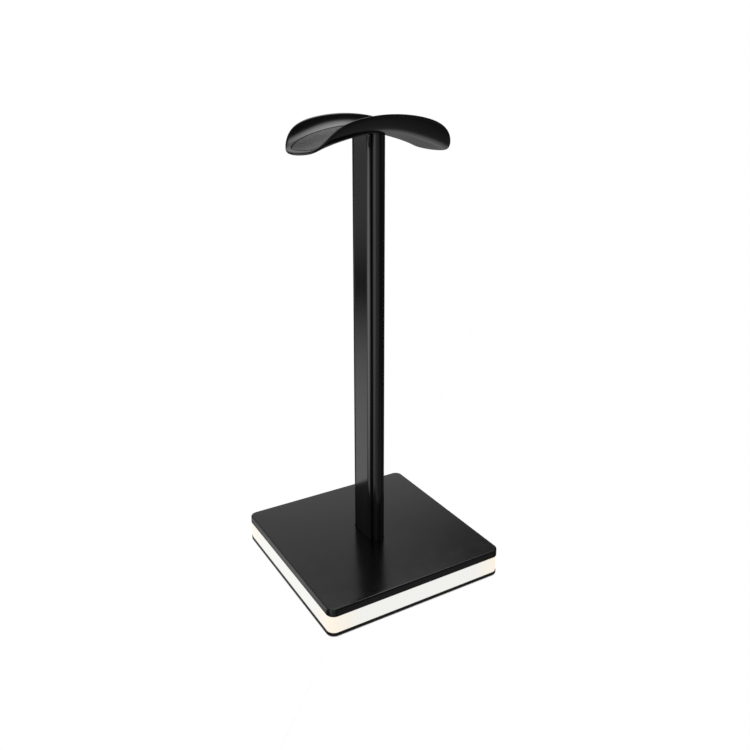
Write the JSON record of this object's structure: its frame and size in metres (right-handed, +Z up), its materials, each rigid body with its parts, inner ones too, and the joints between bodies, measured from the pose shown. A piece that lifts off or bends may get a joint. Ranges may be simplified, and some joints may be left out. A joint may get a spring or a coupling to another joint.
{
  "type": "headphone stand",
  "caption": "Free-standing headphone stand: square base with a lit edge band, slim black post and an arched channel saddle for the headband.",
  "frame": {"origin": "middle of the base's underside, at table level", "axes": "+Z up along the post, +X along the saddle's arch, -Y the front, +Y the rear with the inlet and the button"},
  "size_m": [0.12, 0.12, 0.2817],
  "materials": {
    "cover": "satin black moulded plastic, faintly mirror-like",
    "light_band": "frosted light-diffusing plastic, lit from inside",
    "foot": "matte soft rubber",
    "steel": "zinc-plated steel",
    "white_plastic": "plain white moulded plastic",
    "led_strip": "white flexible board with phosphor LEDs",
    "board": "green solder mask",
    "switch": "black moulded switch body",
    "button": "satin black key cap",
    "lead": "PVC wire insulation",
    "post": "black anodised extrusion, brushed along its length",
    "saddle": "satin black moulded plastic",
    "pad": "soft-touch elastomer liner"
  },
  "bodies": {
    "stand": {"base_top_cover": "cover", "light_band": "light_band", "base_bottom_plate": "cover", "foot_pad_1": "foot", "foot_pad_2": "foot", "foot_pad_3": "foot", "foot_pad_4": "foot", "base_screw_1": "steel", "base_screw_2": "steel", "base_screw_3": "steel", "base_screw_4": "steel", "ballast_plate": "steel", "light_carrier": "white_plastic", "led_strip_front": "led_strip", "led_strip_left": "led_strip", "led_strip_right": "led_strip", "led_strip_rear_left": "led_strip", "led_strip_rear_right": "led_strip", "control_board": "board", "power_inlet": "steel", "mode_switch": "switch", "strip_lead": "lead", "board_screw_1": "steel", "board_screw_2": "steel", "post": "post", "post_washer_1": "steel", "post_screw_1": "steel", "post_washer_2": "steel", "post_screw_2": "steel", "saddle_shell": "saddle", "saddle_pad": "pad", "saddle_screw_1": "steel", "saddle_screw_2": "steel"},
    "button": {"mode_button": "button", "switch_plunger": "white_plastic"}
  },
  "joints": [
    {"name": "mode_button_press", "type": "slide", "parent": "stand", "child": "button", "axis": [0, -1, 0], "range_m": [0, 0.0004], "stiffness_N_per_m": 1500, "springref_m": -0.0002}
  ]
}
